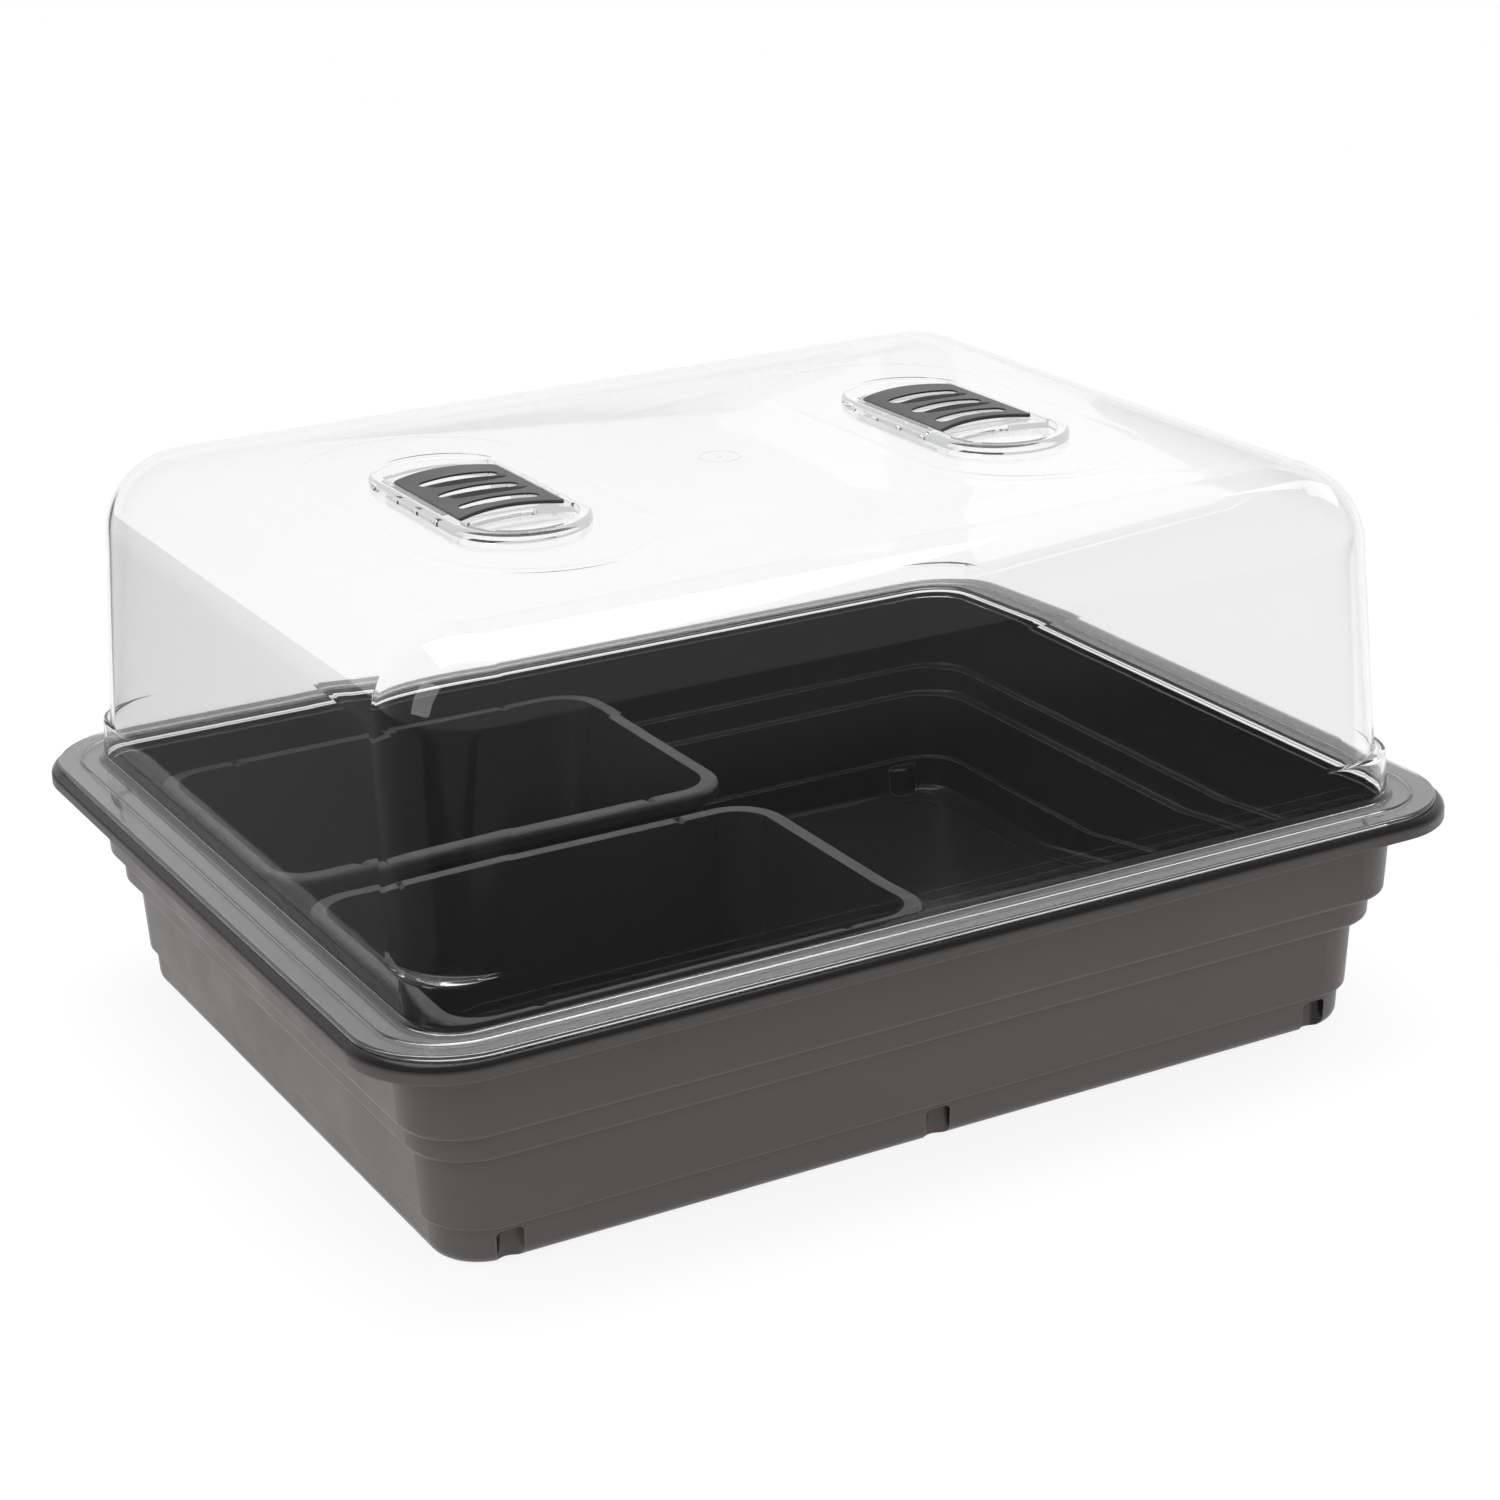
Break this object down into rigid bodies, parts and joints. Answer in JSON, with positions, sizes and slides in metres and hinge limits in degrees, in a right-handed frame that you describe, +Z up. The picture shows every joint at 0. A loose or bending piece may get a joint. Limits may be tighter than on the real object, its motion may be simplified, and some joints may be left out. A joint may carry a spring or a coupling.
{
  "type": "humidity dome tray",
  "caption": "Rectangular black plant-raising tray with stepped walls, a clear lift-off dome with sliding roof vents, and loose rounded seed trays inside.",
  "frame": {"origin": "centre of the flat underside of the base tray, on the surface that it stands on", "axes": "+X along the long side, +Y from the front to the back, +Z up"},
  "size_m": [0.52, 0.4246, 0.2636],
  "materials": {
    "base_plastic": "satin moulded black, slightly warm",
    "clear_plastic": "clear polished rigid plastic",
    "vent_plastic": "satin moulded black",
    "seed_tray_plastic": "satin moulded black"
  },
  "bodies": {
    "base": {"base_tray": "base_plastic"},
    "dome_cover": {"dome": "clear_plastic"},
    "vent_left": {"vent_slider_left": "vent_plastic"},
    "vent_right": {"vent_slider_right": "vent_plastic"},
    "front_seed_tray": {"seed_tray_front": "seed_tray_plastic"},
    "back_seed_tray": {"seed_tray_back": "seed_tray_plastic"}
  },
  "joints": [
    {"name": "dome_lift", "type": "slide", "parent": "base", "child": "dome_cover", "axis": [0, 0, 1], "range_m": [0, 0.16]},
    {"name": "left_vent_slide", "type": "slide", "parent": "dome_cover", "child": "vent_left", "axis": [0, 1, 0], "range_m": [0, 0.008]},
    {"name": "right_vent_slide", "type": "slide", "parent": "dome_cover", "child": "vent_right", "axis": [0, 1, 0], "range_m": [-0.006, 0.002]},
    {"name": "front_seed_tray_lift", "type": "slide", "parent": "base", "child": "front_seed_tray", "axis": [0, 0, 1], "range_m": [0, 0.11]},
    {"name": "back_seed_tray_lift", "type": "slide", "parent": "base", "child": "back_seed_tray", "axis": [0, 0, 1], "range_m": [0, 0.11]}
  ]
}
